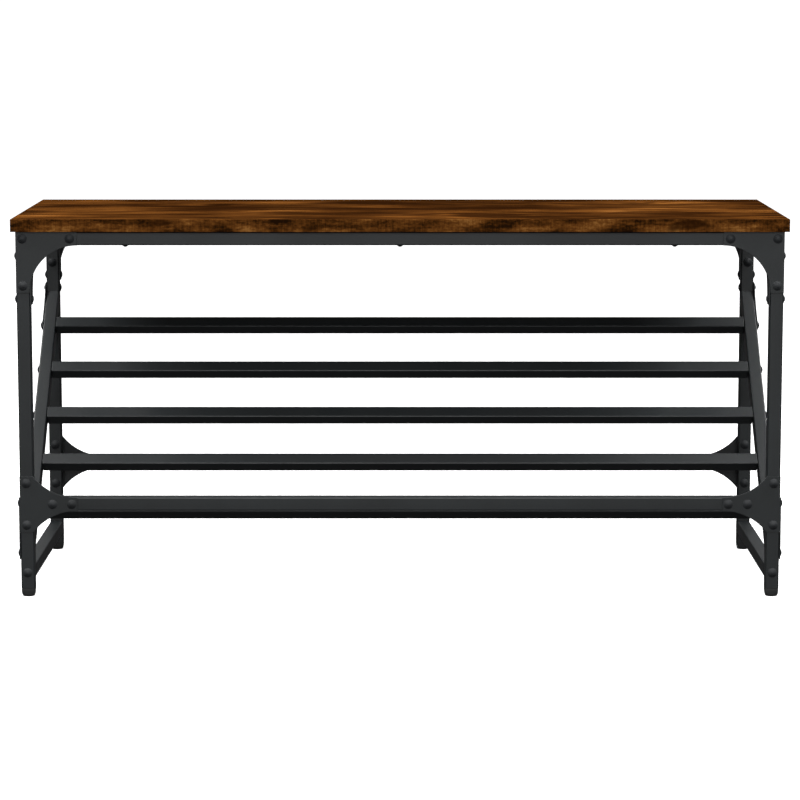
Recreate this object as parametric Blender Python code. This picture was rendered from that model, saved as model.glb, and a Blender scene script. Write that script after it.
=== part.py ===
"""Entryway bench: a wood-look board on a bolted frame of square steel tube, over a sloping shoe shelf
of five tubes.

Metres, +Z up. X runs along the bench, its front faces -Y, and the floor is z = 0 under its middle.
"""

import math
from dataclasses import dataclass

import bmesh
import bpy
from mathutils import Matrix, Vector

# Whole bench
BENCH_LENGTH = 0.920
BENCH_DEPTH = 0.300
SEAT_HEIGHT = 0.455

# Seat board
BOARD_THICKNESS = 0.015
BOARD_EDGE = 0.0004  # chamfer along its edges
END_OVERHANG = 0.0055  # past the frame at the left and the right
FACE_OVERHANG = 0.005  # past the frame at the front and the back

# Square tube, the same for every tube
TUBE = 0.016
WALL = 0.0012
CORNER = 0.0010  # chamfer along the tube's four edges
END_CAP = 0.003  # welded plate with the thread for an end bolt

# Clearances
GAP = 0.0003  # between two pieces that touch
HOLE_CLEARANCE = 0.0004  # between a shank and its hole, all round
HOLE_EXTRA = 0.001  # hole past the end of its shank

# Feet
FOOT_HEIGHT = 0.010
FOOT_BOTTOM = 0.012  # diameter of the flat that stands on the floor
FOOT_LIP = 0.0139  # its diameter just above the flat
FOOT_LIP_HEIGHT = 0.001
FOOT_WAIST = 0.0145  # its width where it turns from round to square
FOOT_WAIST_HEIGHT = 0.006
FOOT_PLUG = 0.012  # length of the plug inside the leg
FOOT_SIDES = 16
ROUND, ROUNDED, SQUARE = 2, 3, 16  # how square a foot's outline is

# Heights of the rails' centre lines above the floor
LOWER_RAIL_HEIGHT = 0.113
FOOT_RAIL_HEIGHT = 0.0294

# Sloping braces, measured where their centre line meets the legs
BRACE_BELOW_RAIL = 0.0455  # below the lower rail's centre line, at the front leg
BRACE_BELOW_TOP = 0.1122  # below the frame's top, at the back leg

# Shelf bars
BAR_COUNT = 5
BAR_SETBACK = 0.0417  # from the leg to the first bar's centre, along the brace

# Sheet-metal plates
PLATE = 0.0012
CORNER_ARM = 0.0725  # corner gusset on the front and back faces
CORNER_BOLT = 0.064  # its outer bolts, from the corner
SIDE_ARM = 0.0875  # corner gusset on the inner side faces
SIDE_NOTCH = 0.0006  # past the tube, around the end of the front or back rail
SIDE_BOLT_IN = 0.013  # its first bolts, past the tube
SIDE_BOLT_END = 0.0071  # its last bolts, from the arm's end
TEE_REACH = 0.069  # T gusset, along the lower rail
TEE_RADIUS = 0.0674
TEE_LEG_BOLT = 0.0253  # above and below the lower rail's centre line
TEE_RAIL_BOLTS = (0.0392, 0.0621)
BRACE_TAIL = 0.0218  # brace plate past the brace's centre line, along the leg
BRACE_TAIL_BOLT = 0.015
BRACE_ARM_START = 0.009  # straight part of its arm, before the bar bolt
BRACE_ARM_END = 0.008  # end of its arm, past the bar bolt
BRACE_FILLET_END = 0.0018  # from the arm's end back to the fillet
BRACE_TIP = 0.0015  # past the fillet, along the leg
BRACE_EDGE_BOW = 0.0024  # how far its lower edge curves in
ARC_STEPS = 8

# Bolts with domed heads and domed nuts
BOLT_SHANK = 0.0058
BOLT_HEAD = 0.0115
BOLT_HEAD_HEIGHT = 0.0026
END_BITE = 0.008  # shank past the face of the tube whose end it holds
BLIND_BITE = 0.009  # shank inside a leg that it doesn't pass through
EMBED = 0.0002  # overlap of a head with the plate that it is joined to
ROUND_SIDES = 8
DOME_STEPS = 2

# Screws that hold the board
SCREW_SHANK = 0.0035
SCREW_HEAD = 0.0076
SCREW_HEAD_HEIGHT = 0.0023
SCREW_BITE = 0.009  # into the board
SCREW_FROM_LEG = 0.121  # outer screws, from the bench's end legs' centre lines

# Colour and roughness of each material
OAK = (0.106, 0.042, 0.011), 0.45
BLACK_STEEL = (0.030, 0.032, 0.032), 0.42
BOLT_STEEL = (0.032, 0.034, 0.035), 0.35
BLACK_PLASTIC = (0.030, 0.031, 0.031), 0.55

# Worked out from the sizes above
HALF_WIDTH = BENCH_LENGTH / 2 - END_OVERHANG
HALF_DEPTH = BENCH_DEPTH / 2 - FACE_OVERHANG
LEG_X = HALF_WIDTH - TUBE / 2
LEG_Y = HALF_DEPTH - TUBE / 2
FRAME_TOP = SEAT_HEIGHT - BOARD_THICKNESS - GAP
TOP_RAIL_HEIGHT = FRAME_TOP - TUBE / 2
INNER_X = HALF_WIDTH - TUBE
INNER_Y = HALF_DEPTH - TUBE
BRACE_FOOT = LOWER_RAIL_HEIGHT - BRACE_BELOW_RAIL
BRACE_HEAD = FRAME_TOP - BRACE_BELOW_TOP
BRACE_SLOPE = math.atan2(BRACE_HEAD - BRACE_FOOT, 2 * INNER_Y)
BRACE_LENGTH = 2 * INNER_Y / math.cos(BRACE_SLOPE)
BRACE_MIDDLE = Vector((0, 0, (BRACE_FOOT + BRACE_HEAD) / 2))
BRACE_LINE = Vector((0, math.cos(BRACE_SLOPE), math.sin(BRACE_SLOPE)))
BAR_PITCH = (BRACE_LENGTH - 2 * BAR_SETBACK) / (BAR_COUNT - 1)

SMOOTH_ANGLE = math.radians(35)  # edges sharper than this stay crisp
MERGE = 1e-6

SIDES = {"left": -1, "right": 1}
ENDS = {"front": -1, "back": 1}
UP = Vector((0, 0, 1))
ALONG_X = Matrix.Rotation(math.radians(90), 4, "Y")
ALONG_Y = Matrix.Rotation(math.radians(-90), 4, "X")
UPRIGHT = Matrix.Identity(4)


@dataclass(frozen=True)
class Fastener:
    """A bolt or screw: where its head's flat side is, which way its shank runs, and how far."""

    seat: Vector
    into: Vector
    grip: float
    nut: bool = False
    shank: float = BOLT_SHANK / 2
    head: float = BOLT_HEAD / 2
    head_height: float = BOLT_HEAD_HEIGHT


@dataclass(frozen=True)
class Face:
    """A flat face that a plate lies on: its corner, its two directions and the way out of the tube."""

    corner: Vector
    along: Vector
    across: Vector
    out: Vector

    def point(self, a, b):
        return self.corner + a * self.along + b * self.across


def clear_scene():
    for obj in list(bpy.data.objects):
        bpy.data.objects.remove(obj, do_unlink=True)


def make_material(name, colour, roughness):
    material = bpy.data.materials.new(name)
    material.use_nodes = True
    shader = material.node_tree.nodes["Principled BSDF"]
    shader.inputs["Base Color"].default_value = (*colour, 1.0)
    shader.inputs["Roughness"].default_value = roughness
    return material


def mesh_from(bm, name, material, smooth=False):
    mesh = bpy.data.meshes.new(name)
    bm.to_mesh(mesh)
    bm.free()
    mesh.materials.append(material)
    if smooth:
        mesh.shade_smooth()
        mesh.set_sharp_from_angle(angle=SMOOTH_ANGLE)
    return mesh


def add_object(name, mesh, place=UPRIGHT):
    obj = bpy.data.objects.new(name, mesh)
    bpy.context.scene.collection.objects.link(obj)
    obj.matrix_world = place
    return obj


def add_helper(name, mesh):
    helper = add_object(name, mesh)
    helper.hide_render = True
    helper.display_type = "WIRE"
    return helper


def combine(obj, other, operation):
    modifier = obj.modifiers.new(other.name, "BOOLEAN")
    modifier.operation = operation
    modifier.solver = "EXACT"
    modifier.object = other


# Square tubes


def extrude_square(bm, side, corner, low, high, wall=0.0):
    """A square prism from z = low to z = high with chamfered edges, or a tube of it if it has a wall."""
    before = set(bm.faces)
    bmesh.ops.create_grid(bm, x_segments=1, y_segments=1, size=side / 2)
    face = next(f for f in bm.faces if f not in before)
    if corner:
        bmesh.ops.bevel(
            bm, geom=face.verts[:], affect="VERTICES", offset=corner, segments=1, profile=0.5, material=-1
        )
        face = next(f for f in bm.faces if f not in before)
    ring = [face]
    if wall:
        ring = bmesh.ops.inset_region(
            bm, faces=[face], thickness=wall, use_boundary=True, use_even_offset=True
        )["faces"]
        bmesh.ops.delete(bm, geom=[face], context="FACES")
    bottom = list({v for f in ring for v in f.verts})
    bmesh.ops.translate(bm, verts=bottom, vec=(0, 0, low))
    made = bmesh.ops.extrude_face_region(bm, geom=ring)["geom"]
    top = [v for v in made if isinstance(v, bmesh.types.BMVert)]
    bmesh.ops.translate(bm, verts=top, vec=(0, 0, high - low))
    fresh = [f for f in bm.faces if f not in before]
    bmesh.ops.recalc_face_normals(bm, faces=fresh)
    return fresh


def tube_mesh(name, length, material, end_slope=0.0):
    """A tube with open ends along Z. An end slope slants both ends, as where a brace meets a leg."""
    bm = bmesh.new()
    extrude_square(bm, TUBE, CORNER, -length / 2, length / 2, WALL)
    for vert in bm.verts:
        vert.co.z -= vert.co.y * math.tan(end_slope)
    return mesh_from(bm, name, material)


def capped_tube_mesh(name, length, material):
    """A tube along Z whose ends are closed by welded plates."""
    bm = bmesh.new()
    extrude_square(bm, TUBE, CORNER, -length / 2, length / 2)
    inside = TUBE - 2 * WALL
    hollow = extrude_square(bm, inside, 0.0, END_CAP - length / 2, length / 2 - END_CAP)
    bmesh.ops.reverse_faces(bm, faces=hollow)
    return mesh_from(bm, name, material)


def add_tubes(steel):
    """Every tube of the frame, by name."""
    tubes = {}
    leg_bottom = FOOT_HEIGHT + GAP
    leg = tube_mesh("leg", FRAME_TOP - leg_bottom, steel)
    long_rail = tube_mesh("long_top_rail", 2 * (INNER_X - GAP), steel)
    side_rail = capped_tube_mesh("side_rail", 2 * (INNER_Y - GAP), steel)
    cross_tube = capped_tube_mesh("cross_tube", 2 * (INNER_X - GAP), steel)
    brace_length = BRACE_LENGTH - 2 * GAP / math.cos(BRACE_SLOPE)
    brace = tube_mesh("brace", brace_length, steel, BRACE_SLOPE)

    def add(name, mesh, centre, turn):
        tubes[name] = add_object(name, mesh, Matrix.Translation(centre) @ turn)

    for end, y_sign in ENDS.items():
        y = y_sign * LEG_Y
        for side, x_sign in SIDES.items():
            add(f"leg_{end}_{side}", leg, (x_sign * LEG_X, y, (FRAME_TOP + leg_bottom) / 2), UPRIGHT)
        add(f"top_rail_{end}", long_rail, (0, y, TOP_RAIL_HEIGHT), ALONG_X)
        add(f"lower_rail_{end}", cross_tube, (0, y, LOWER_RAIL_HEIGHT), ALONG_X)
    lean = Matrix.Rotation(BRACE_SLOPE - math.radians(90), 4, "X")
    for side, x_sign in SIDES.items():
        x = x_sign * LEG_X
        add(f"top_rail_{side}", side_rail, (x, 0, TOP_RAIL_HEIGHT), ALONG_Y)
        add(f"foot_rail_{side}", side_rail, (x, 0, FOOT_RAIL_HEIGHT), ALONG_Y)
        add(f"brace_{side}", brace, BRACE_MIDDLE + Vector((x, 0, 0)), lean)
    tilt = Matrix.Rotation(BRACE_SLOPE, 4, "X")
    for number in range(1, BAR_COUNT + 1):
        add(f"shelf_bar_{number}", cross_tube, bar_centre(number), tilt @ ALONG_X)
    return tubes


def bar_centre(number):
    """The middle of a shelf bar. Bar 1 is the highest, at the back."""
    return BRACE_MIDDLE + BRACE_LINE * BAR_PITCH * ((BAR_COUNT + 1) / 2 - number)


# Bolts and screws


def dome(radius, height):
    """(r, z) points of a shallow dome, from its top to its rim."""
    sphere = (radius**2 + height**2) / (2 * height)
    rim = math.asin(radius / sphere)
    angles = [rim * step / DOME_STEPS for step in range(DOME_STEPS + 1)]
    return [(sphere * math.sin(a), sphere * math.cos(a) - sphere + height) for a in angles]


def spin_profile(bm, profile, seat, into):
    """Spins (r, z) points round an axis through seat. Their -Z runs along into."""
    before = set(bm.verts)
    chain = [bm.verts.new((r, 0, z)) for r, z in profile]
    edges = [bm.edges.new(pair) for pair in zip(chain, chain[1:])]
    bmesh.ops.spin(
        bm, geom=chain + edges, cent=(0, 0, 0), axis=(0, 0, 1), dvec=(0, 0, 0), angle=math.tau,
        steps=ROUND_SIDES, use_merge=True, use_duplicate=False,
    )
    bmesh.ops.remove_doubles(bm, verts=[v for v in bm.verts if v not in before], dist=MERGE)
    fresh = [v for v in bm.verts if v not in before]
    turn = (-UP).rotation_difference(into).to_matrix().to_4x4()
    bmesh.ops.transform(bm, matrix=Matrix.Translation(seat) @ turn, verts=fresh)


def fasteners_mesh(name, fasteners, material):
    bm = bmesh.new()
    for item in fasteners:
        head = dome(item.head, item.head_height)
        shank = [(item.shank, 0), (item.shank, -item.grip)]
        end = [(0, -item.grip)]
        if item.nut:
            end = [(r, -item.grip - z) for r, z in reversed(head)]
        spin_profile(bm, head + shank + end, item.seat, item.into)
    bmesh.ops.recalc_face_normals(bm, faces=bm.faces[:])
    return mesh_from(bm, name, material, smooth=True)


def holes_mesh(name, fasteners, material):
    """A round cutter for each fastener's hole, from above its head's seat to past its end."""
    bm = bmesh.new()
    for item in fasteners:
        radius = item.shank + HOLE_CLEARANCE
        high, low = HOLE_EXTRA, -item.grip - HOLE_EXTRA
        spin_profile(bm, [(0, high), (radius, high), (radius, low), (0, low)], item.seat, item.into)
    bmesh.ops.recalc_face_normals(bm, faces=bm.faces[:])
    return mesh_from(bm, name, material)


def bar_bolts():
    """The bolts through the braces into the shelf bars, by name. Those in a brace plate start on it."""
    bolts = {}
    for side, x_sign in SIDES.items():
        for number in range(1, BAR_COUNT + 1):
            stack = GAP
            if number in (1, BAR_COUNT):
                stack += GAP + PLATE
            seat = bar_centre(number) + Vector((x_sign * (HALF_WIDTH + stack), 0, 0))
            grip = stack + TUBE + END_BITE
            bolts[f"bar_bolt_{side}_{number}"] = Fastener(seat, Vector((-x_sign, 0, 0)), grip)
    return bolts


def foot_rail_bolts():
    bolts = {}
    for end, y_sign in ENDS.items():
        for side, x_sign in SIDES.items():
            seat = Vector((x_sign * LEG_X, y_sign * (HALF_DEPTH + GAP), FOOT_RAIL_HEIGHT))
            grip = GAP + TUBE + END_BITE
            bolts[f"foot_rail_bolt_{end}_{side}"] = Fastener(seat, Vector((0, -y_sign, 0)), grip)
    return bolts


def board_screws():
    screws = {}
    grip = GAP + TUBE + GAP + SCREW_BITE
    places = {"left": SCREW_FROM_LEG - LEG_X, "middle": 0.0, "right": LEG_X - SCREW_FROM_LEG}
    for end, y_sign in ENDS.items():
        for place, x in places.items():
            seat = Vector((x, y_sign * LEG_Y, FRAME_TOP - TUBE - GAP))
            screws[f"board_screw_{end}_{place}"] = Fastener(
                seat, UP, grip, shank=SCREW_SHANK / 2, head=SCREW_HEAD / 2, head_height=SCREW_HEAD_HEIGHT
            )
    return screws


# Plates


def arc(centre, radius, start, stop, steps=ARC_STEPS):
    """Points on an arc, from angle start to angle stop."""
    angles = [start + (stop - start) * step / steps for step in range(steps + 1)]
    return [(centre[0] + radius * math.cos(a), centre[1] + radius * math.sin(a)) for a in angles]


def bowed_edge(start, stop, bow):
    """Points from start to stop on an arc that bulges to the left of that line by bow."""
    run = Vector(stop) - Vector(start)
    radius = (run.length / 2) ** 2 / (2 * bow) + bow / 2
    left = Vector((-run.y, run.x)).normalized()
    centre = (Vector(start) + Vector(stop)) / 2 - left * (radius - bow)
    first = math.atan2(start[1] - centre.y, start[0] - centre.x)
    last = math.atan2(stop[1] - centre.y, stop[0] - centre.x)
    return arc(centre, radius, first, last, ARC_STEPS // 2)


def corner_outline(arm):
    """An L with a hollow arc between its arms. (0, 0) is the frame's corner."""
    hollow = arc((arm, arm), arm - TUBE, math.radians(-90), math.radians(-180))
    return [(0, 0), (arm, 0), *hollow, (0, arm)]


def notched_corner_outline(arm, notch):
    hollow = corner_outline(arm)[2:-1]
    return [(notch, 0), (arm, 0), *hollow, (0, arm), (0, notch), (notch, notch)]


def tee_outline():
    """A T across the leg, with a hollow arc on each side of the rail. (0, 0) is on the rail's centre line."""
    centre_b = TUBE / 2 + TEE_RADIUS
    reach_angle = math.acos((TUBE - TEE_REACH) / TEE_RADIUS)
    upper = arc((TEE_REACH, centre_b), TEE_RADIUS, math.radians(-90), -reach_angle)
    lower = [(a, -b) for a, b in reversed(upper)]
    half_height = upper[-1][1]
    return [(0, -half_height), *lower, *upper, (0, half_height)]


def brace_outline():
    """A plate over a leg and the end of a brace. (0, 0) is where the brace's centre line meets the leg."""
    line = Vector((math.cos(BRACE_SLOPE), math.sin(BRACE_SLOPE)))
    above = Vector((-line.y, line.x)) * TUBE / 2
    arm_end = BAR_SETBACK + BRACE_ARM_END
    crotch = TUBE / 2 / math.cos(BRACE_SLOPE)
    half_opening = (math.radians(90) - BRACE_SLOPE) / 2
    tangent = arm_end - BRACE_FILLET_END - crotch * math.sin(BRACE_SLOPE)
    radius = tangent * math.tan(half_opening)
    fillet_centre = (radius, crotch + tangent)
    start = BRACE_SLOPE - math.radians(90)
    fillet = arc(fillet_centre, radius, start, math.radians(-180))
    lower_edge = bowed_edge((0, -BRACE_TAIL), line * (BAR_SETBACK - BRACE_ARM_START) - above, BRACE_EDGE_BOW)
    tip = crotch + tangent + BRACE_TIP
    return [
        (-TUBE, -BRACE_TAIL),
        *lower_edge,
        line * arm_end - above,
        line * arm_end + above,
        *fillet,
        (0, tip),
        (-TUBE, tip),
    ]


def add_plate(name, face, outline, bolts, steel):
    """A plate on a face, joined to the bolts that hold it."""
    bm = bmesh.new()
    edge = [bm.verts.new(face.point(a, b)) for a, b in outline]
    sheet = bm.faces.new(edge)
    made = bmesh.ops.extrude_face_region(bm, geom=[sheet])["geom"]
    outer = [v for v in made if isinstance(v, bmesh.types.BMVert)]
    bmesh.ops.translate(bm, verts=outer, vec=face.out * PLATE)
    bmesh.ops.recalc_face_normals(bm, faces=bm.faces[:])
    plate = add_object(name, mesh_from(bm, name, steel))
    helper = add_helper(f"{name}_bolts", fasteners_mesh(f"{name}_bolts", bolts, steel))
    combine(plate, helper, "UNION")
    return plate


def through_bolt(face, a, b):
    """A bolt through a plate and the tube behind it, with a nut on the tube's far face."""
    seat = face.point(a, b) + face.out * (PLATE - EMBED)
    return Fastener(seat, -face.out, PLATE - EMBED + TUBE + 2 * GAP, nut=True)


def end_bolt(face, a, b):
    """A bolt through a plate and a leg into the end of the tube that meets the leg there."""
    seat = face.point(a, b) + face.out * (PLATE - EMBED)
    return Fastener(seat, -face.out, PLATE - EMBED + GAP + TUBE + END_BITE)


def blind_bolt(face, a, b):
    """A bolt through a plate and the near wall of a leg, which ends inside the leg."""
    seat = face.point(a, b) + face.out * (PLATE - EMBED)
    return Fastener(seat, -face.out, PLATE - EMBED + GAP + BLIND_BITE)


def add_plates(steel):
    """Every plate with its own bolts. Returns the bolts, and the brace plates by name."""
    bolts = []
    brace_plates = {}
    middle = TUBE / 2

    def add(name, face, outline, held_by):
        bolts.extend(held_by)
        return add_plate(name, face, outline, held_by, steel)

    for end, y_sign in ENDS.items():
        for side, x_sign in SIDES.items():
            spot = f"{end}_{side}"
            inward_x, inward_y = Vector((-x_sign, 0, 0)), Vector((0, -y_sign, 0))
            outer_y = y_sign * (HALF_DEPTH + GAP)

            face = Face(Vector((x_sign * HALF_WIDTH, outer_y, FRAME_TOP)), inward_x, -UP, -inward_y)
            held_by = [
                end_bolt(face, middle, middle),
                through_bolt(face, CORNER_BOLT, middle),
                through_bolt(face, middle, CORNER_BOLT),
            ]
            add(f"corner_gusset_{spot}", face, corner_outline(CORNER_ARM), held_by)

            inner_x = x_sign * (INNER_X - GAP)
            face = Face(Vector((inner_x, y_sign * HALF_DEPTH, FRAME_TOP)), inward_y, -UP, inward_x)
            side_bolts = (TUBE + SIDE_BOLT_IN, SIDE_ARM - SIDE_BOLT_END)
            held_by = [through_bolt(face, middle, far) for far in side_bolts]
            held_by += [through_bolt(face, far, middle) for far in side_bolts]
            outline = notched_corner_outline(SIDE_ARM, TUBE + SIDE_NOTCH)
            add(f"side_gusset_{spot}", face, outline, held_by)

            face = Face(Vector((x_sign * HALF_WIDTH, outer_y, LOWER_RAIL_HEIGHT)), inward_x, UP, -inward_y)
            held_by = [through_bolt(face, middle, b) for b in (TEE_LEG_BOLT, -TEE_LEG_BOLT)]
            held_by += [through_bolt(face, far, 0) for far in TEE_RAIL_BOLTS]
            add(f"rail_gusset_{spot}", face, tee_outline(), held_by)

            height, across = (BRACE_FOOT, UP) if end == "front" else (BRACE_HEAD, -UP)
            corner = Vector((x_sign * (HALF_WIDTH + GAP), y_sign * INNER_Y, height))
            face = Face(corner, inward_y, across, -inward_x)
            tail_bolt, far_bolt = (blind_bolt, end_bolt) if end == "front" else (through_bolt, blind_bolt)
            held_by = [tail_bolt(face, -middle, -BRACE_TAIL_BOLT), far_bolt(face, -middle, BRACE_BELOW_RAIL)]
            name = f"brace_plate_{spot}"
            brace_plates[name] = add(name, face, brace_outline(), held_by)
    return bolts, brace_plates


# Seat board and feet


def add_board(wood):
    bm = bmesh.new()
    bmesh.ops.create_cube(bm, size=1)
    bmesh.ops.scale(bm, vec=(BENCH_LENGTH, BENCH_DEPTH, BOARD_THICKNESS), verts=bm.verts[:])
    bmesh.ops.bevel(
        bm, geom=bm.edges[:], affect="EDGES", offset=BOARD_EDGE, segments=1, profile=0.5, material=-1
    )
    place = Matrix.Translation((0, 0, SEAT_HEIGHT - BOARD_THICKNESS / 2))
    return add_object("seat_board", mesh_from(bm, "seat_board", wood), place)


def foot_ring(bm, height, half, squareness):
    """A closed loop of edges, from a circle when ROUND to nearly a square when SQUARE."""
    loop = []
    for step in range(FOOT_SIDES):
        angle = math.tau * step / FOOT_SIDES
        x, y = math.cos(angle), math.sin(angle)
        size = half / (abs(x) ** squareness + abs(y) ** squareness) ** (1 / squareness)
        loop.append(bm.verts.new((x * size, y * size, height)))
    return [bm.edges.new((loop[i - 1], loop[i])) for i in range(FOOT_SIDES)]


def add_feet(plastic):
    """Plastic caps whose plugs stand in the legs."""
    plug = TUBE / 2 - WALL - GAP
    rings = (
        (0.0, FOOT_BOTTOM / 2, ROUND),
        (FOOT_LIP_HEIGHT, FOOT_LIP / 2, ROUND),
        (FOOT_WAIST_HEIGHT, FOOT_WAIST / 2, ROUNDED),
        (FOOT_HEIGHT, TUBE / 2, SQUARE),
        (FOOT_HEIGHT, plug, SQUARE),
        (FOOT_HEIGHT + FOOT_PLUG, plug, SQUARE),
    )
    bm = bmesh.new()
    loops = [foot_ring(bm, *ring) for ring in rings]
    for lower, upper in zip(loops, loops[1:]):
        bmesh.ops.bridge_loops(bm, edges=lower + upper)
    bmesh.ops.contextual_create(bm, geom=loops[0])
    bmesh.ops.contextual_create(bm, geom=loops[-1])
    bmesh.ops.recalc_face_normals(bm, faces=bm.faces[:])
    mesh = mesh_from(bm, "foot", plastic, smooth=True)
    for end, y_sign in ENDS.items():
        for side, x_sign in SIDES.items():
            place = Matrix.Translation((x_sign * LEG_X, y_sign * LEG_Y, 0))
            add_object(f"foot_{end}_{side}", mesh, place)


def main():
    clear_scene()
    wood = make_material("smoked_oak", *OAK)
    steel = make_material("black_steel", *BLACK_STEEL)
    bolt_steel = make_material("bolt_steel", *BOLT_STEEL)
    plastic = make_material("black_plastic", *BLACK_PLASTIC)

    board = add_board(wood)
    tubes = add_tubes(steel)
    add_feet(plastic)
    plate_bolts, brace_plates = add_plates(steel)

    bolts, ends, screws = bar_bolts(), foot_rail_bolts(), board_screws()
    for name, item in (bolts | ends | screws).items():
        add_object(name, fasteners_mesh(name, [item], bolt_steel))

    drilled = plate_bolts + list(bolts.values()) + list(ends.values())
    frame_holes = add_helper("frame_holes", holes_mesh("frame_holes", drilled, steel))
    screw_holes = add_helper("screw_holes", holes_mesh("screw_holes", screws.values(), steel))
    bar_holes = add_helper("bar_holes", holes_mesh("bar_holes", bolts.values(), steel))
    for name, tube in tubes.items():
        combine(tube, frame_holes, "DIFFERENCE")
        if name in ("top_rail_front", "top_rail_back"):
            combine(tube, screw_holes, "DIFFERENCE")
    for plate in brace_plates.values():
        combine(plate, bar_holes, "DIFFERENCE")
    combine(board, screw_holes, "DIFFERENCE")


main()
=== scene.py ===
"""Finished looks of the entryway bench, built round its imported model.

Metres, +Z up. X runs along the bench, its front faces -Y, and the floor is z = 0 under its middle.
"""

import math

import bmesh
import bpy
from mathutils import Matrix, Vector


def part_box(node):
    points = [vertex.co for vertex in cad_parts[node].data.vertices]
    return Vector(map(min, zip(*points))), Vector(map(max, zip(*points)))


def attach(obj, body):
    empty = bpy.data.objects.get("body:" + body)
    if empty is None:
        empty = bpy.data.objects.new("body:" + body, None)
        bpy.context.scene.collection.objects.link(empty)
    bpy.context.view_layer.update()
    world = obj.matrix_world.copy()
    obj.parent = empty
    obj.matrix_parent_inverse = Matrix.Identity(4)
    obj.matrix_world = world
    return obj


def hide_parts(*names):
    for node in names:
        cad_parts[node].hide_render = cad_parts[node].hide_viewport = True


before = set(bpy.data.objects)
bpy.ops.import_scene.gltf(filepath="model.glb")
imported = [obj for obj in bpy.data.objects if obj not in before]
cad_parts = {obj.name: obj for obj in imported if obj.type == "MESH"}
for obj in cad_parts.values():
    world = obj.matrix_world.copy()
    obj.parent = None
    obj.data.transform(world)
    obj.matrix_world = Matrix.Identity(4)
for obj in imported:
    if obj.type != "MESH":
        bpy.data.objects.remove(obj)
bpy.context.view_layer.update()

SIDES = {"left": -1, "right": 1}
ENDS = {"front": -1, "back": 1}
UP = Vector((0, 0, 1))
UPRIGHT = Matrix.Identity(4)
ALONG_X = Matrix.Rotation(math.radians(90), 4, "Y")
ALONG_Y = Matrix.Rotation(math.radians(-90), 4, "X")
SHARP_ANGLE = math.radians(50)  # edges that turn more than this stay crisp
TINY = 1e-6  # places nearer than this count as one


def middle_of(node):
    low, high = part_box(node)
    return (low + high) / 2


# Sizes read off the frame
BOARD_LOW, BOARD_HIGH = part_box("seat_board")
LEG_LOW, LEG_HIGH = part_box("leg_front_left")
TUBE = LEG_HIGH.x - LEG_LOW.x
FRAME_TOP = LEG_HIGH.z
HALF_WIDTH = -LEG_LOW.x
HALF_DEPTH = -LEG_LOW.y
INNER_X = HALF_WIDTH - TUBE
INNER_Y = HALF_DEPTH - TUBE
LEG_X = HALF_WIDTH - TUBE / 2
LEG_Y = HALF_DEPTH - TUBE / 2
GAP = BOARD_LOW.z - FRAME_TOP
LOWER_RAIL_HEIGHT = middle_of("lower_rail_front").z
FOOT_RAIL_HEIGHT = middle_of("foot_rail_left").z
BAR_COUNT = sum(name.startswith("shelf_bar_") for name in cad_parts)
BAR_MIDDLES = [middle_of(f"shelf_bar_{number}") for number in range(1, BAR_COUNT + 1)]
BRACE_LINE = (BAR_MIDDLES[0] - BAR_MIDDLES[-1]).normalized()
BRACE_SLOPE = math.atan2(BRACE_LINE.z, BRACE_LINE.y)
BRACE_MIDDLE = (BAR_MIDDLES[0] + BAR_MIDDLES[-1]) / 2
BRACE_HALF_RISE = INNER_Y * math.tan(BRACE_SLOPE)
BRACE_FOOT = BRACE_MIDDLE.z - BRACE_HALF_RISE
BRACE_HEAD = BRACE_MIDDLE.z + BRACE_HALF_RISE
BAR_SETBACK = INNER_Y / math.cos(BRACE_SLOPE) - (BAR_MIDDLES[0] - BRACE_MIDDLE).length

# Tubes
WALL = 0.0012
TUBE_RADIUS = 0.0015
TUBE_END_SOFTENING = 0.0003

# Seat board
BAND = 0.0008
BAND_SOFTENING = 0.00035
PANEL_SOFTENING = 0.0002

# Sheet-metal plates
PLATE = 0.0012
PLATE_SOFTENING = 0.00028
ARC_STEPS = 28
CORNER_ARM = 0.0725
CORNER_BOLT = 0.064
SIDE_ARM = 0.0875
SIDE_NOTCH = 0.0006
SIDE_BOLT_IN = 0.013
SIDE_BOLT_END = 0.0071
TEE_REACH = 0.069
TEE_RADIUS = 0.0674
TEE_LEG_BOLT = 0.0253
TEE_RAIL_BOLTS = (0.0392, 0.0621)
BRACE_TAIL = 0.0218
BRACE_TAIL_BOLT = 0.015
BRACE_ARM_START = 0.009
BRACE_ARM_END = 0.008
BRACE_FILLET_END = 0.0018
BRACE_TIP = 0.0015
BRACE_EDGE_BOW = 0.0024

# Bolts with domed heads, and domed nuts with a hexagon socket
BOLT_SHANK = 0.0058
BOLT_HEAD = 0.0115
BOLT_HEAD_HEIGHT = 0.0026
LIP = 0.00012  # upright rim under a dome
BOLT_SOCKET = 0.0032
BOLT_SOCKET_DEPTH = 0.0014
END_BITE = 0.008  # shank past the face of the tube whose end it holds
BLIND_BITE = 0.009  # shank of a bolt that ends inside a leg
ROUND_STEPS = 24
DOME_STEPS = 7

# Screws that hold the board
SCREW_SHANK = 0.0035
SCREW_HEAD = 0.0076
SCREW_HEAD_HEIGHT = 0.0023
SCREW_SOCKET = 0.0024
SCREW_SOCKET_DEPTH = 0.0012
SCREW_BITE = 0.009

# Feet
FOOT_HEIGHT = LEG_LOW.z - GAP
FOOT_BOTTOM = 0.012
FOOT_SIDES = 48
FOOT_LEVELS = 8
FOOT_SEAM = 0.0004
FOOT_SQUARENESS = 12
FOOT_SWELL_POWER = 0.5  # under 1, so that the cap widens soon after its sole
FOOT_CORNER_POWER = 1.5
FOOT_RISE_POWER = 1.6


# Pieces


def weigh_normals(piece):
    """Keeps flat faces evenly lit beside their rounded edges."""
    modifier = piece.modifiers.new("even_flats", "WEIGHTED_NORMAL")
    modifier.keep_sharp = True


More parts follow.
